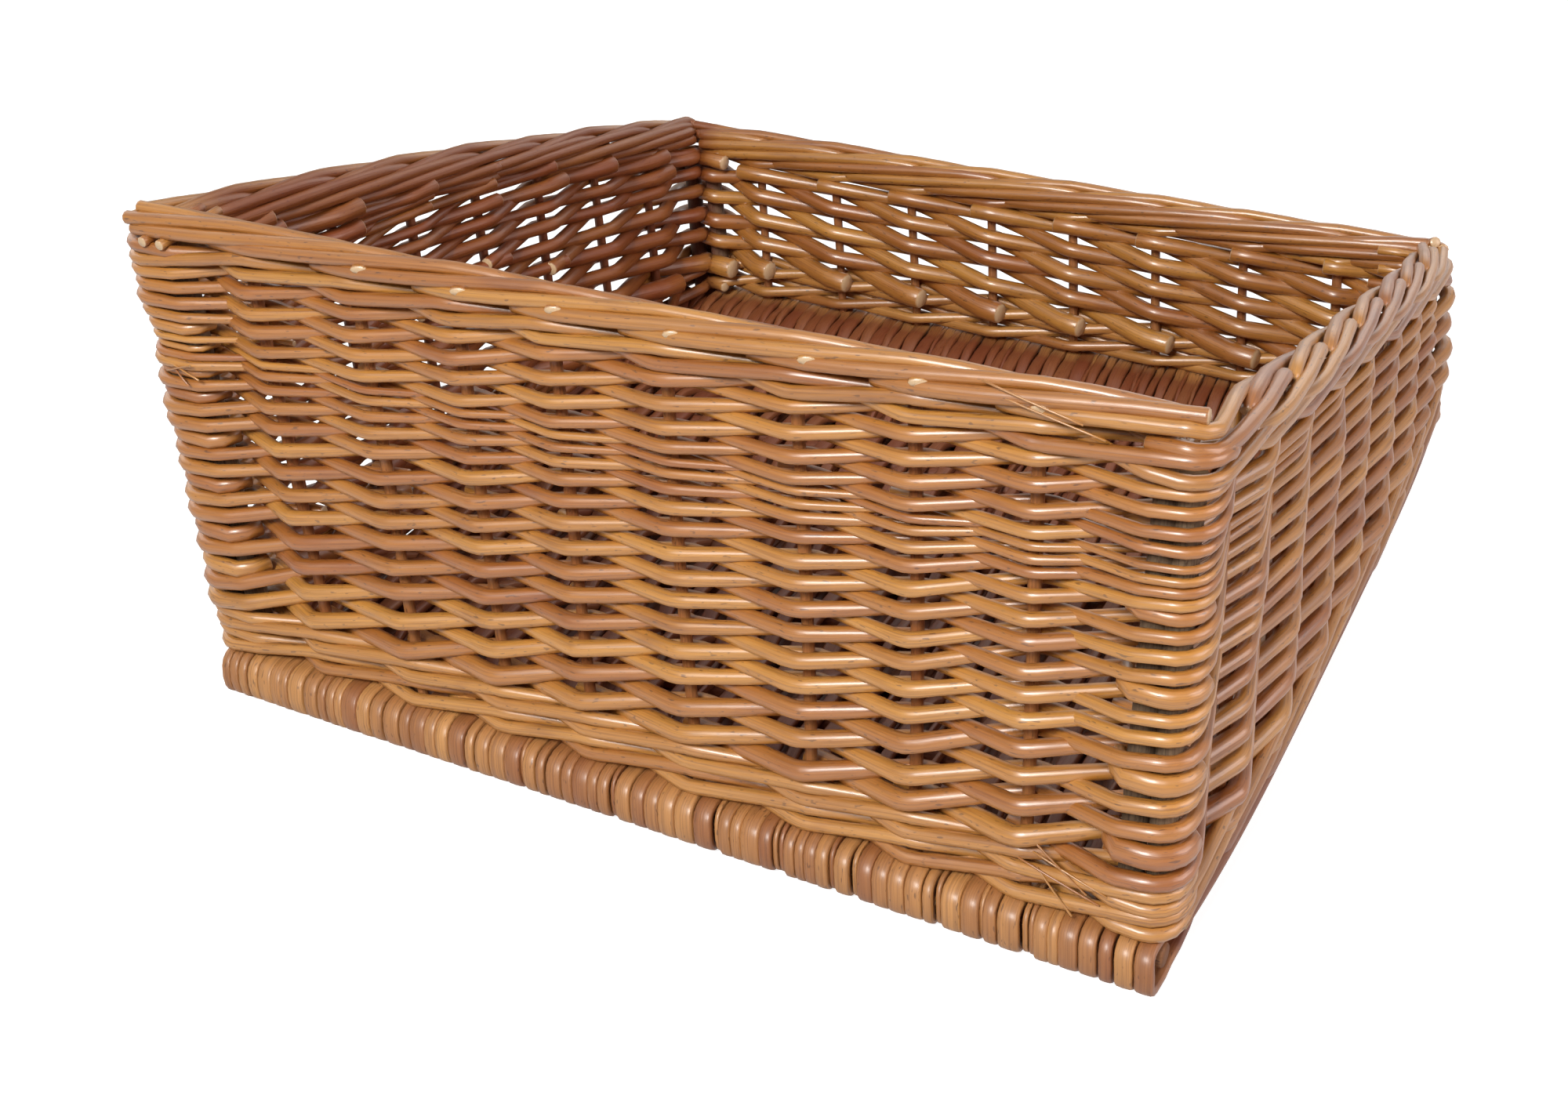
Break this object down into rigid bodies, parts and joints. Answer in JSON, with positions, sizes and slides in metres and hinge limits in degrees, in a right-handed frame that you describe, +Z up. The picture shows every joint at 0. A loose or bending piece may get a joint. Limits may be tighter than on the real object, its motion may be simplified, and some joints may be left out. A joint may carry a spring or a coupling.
{
  "type": "shelf basket",
  "caption": "Square willow basket with one tall wall, one low wall and sloping ends, for displaying and storing goods on a shelf.",
  "frame": {"origin": "centre of the footprint on the surface that the basket stands on", "axes": "+X along the tall wall, +Y from the tall wall to the low wall, +Z up"},
  "size_m": [0.453, 0.449, 0.236],
  "materials": {
    "weave": "varnished buff willow rods, glossy, golden tan with per-rod variation",
    "wale": "varnished buff willow rods, glossy",
    "border": "varnished buff willow rods, glossy, pale cut ends",
    "stakes": "varnished willow stakes, satin",
    "posts": "thick grey-brown willow posts with fine lengthwise striation, satin",
    "base_weave": "varnished willow weavers, flattened where they turn round the edge sticks",
    "base_sticks": "thick willow sticks, satin, pale at the cut ends"
  },
  "bodies": {
    "root": {"base_weave": "base_weave", "base_stick_1": "base_sticks", "base_stick_2": "base_sticks", "base_stick_3": "base_sticks", "base_stick_4": "base_sticks", "base_stick_5": "base_sticks", "base_stick_6": "base_sticks", "base_stick_7": "base_sticks", "tall_wall_wale": "wale", "tall_wall_weave": "weave", "tall_wall_border": "border", "tall_wall_stake_1": "stakes", "tall_wall_stake_2": "stakes", "tall_wall_stake_3": "stakes", "tall_wall_stake_4": "stakes", "tall_wall_stake_5": "stakes", "tall_wall_stake_6": "stakes", "tall_wall_stake_7": "stakes", "tall_wall_stake_8": "stakes", "low_wall_wale": "wale", "low_wall_weave": "weave", "low_wall_border": "border", "low_wall_stake_1": "stakes", "low_wall_stake_2": "stakes", "low_wall_stake_3": "stakes", "low_wall_stake_4": "stakes", "low_wall_stake_5": "stakes", "low_wall_stake_6": "stakes", "low_wall_stake_7": "stakes", "low_wall_stake_8": "stakes", "left_end_wale": "wale", "left_end_weave": "weave", "left_end_border": "border", "left_end_stake_1": "stakes", "left_end_stake_2": "stakes", "left_end_stake_3": "stakes", "left_end_stake_4": "stakes", "left_end_stake_5": "stakes", "left_end_stake_6": "stakes", "left_end_stake_7": "stakes", "right_end_wale": "wale", "right_end_weave": "weave", "right_end_border": "border", "right_end_stake_1": "stakes", "right_end_stake_2": "stakes", "right_end_stake_3": "stakes", "right_end_stake_4": "stakes", "right_end_stake_5": "stakes", "right_end_stake_6": "stakes", "right_end_stake_7": "stakes", "tall_left_corner_post": "posts", "tall_left_inner_post": "posts", "tall_right_inner_post": "posts", "tall_right_corner_post": "posts", "low_left_corner_post": "posts", "low_left_inner_post": "posts", "low_right_inner_post": "posts", "low_right_corner_post": "posts"}
  },
  "joints": []
}
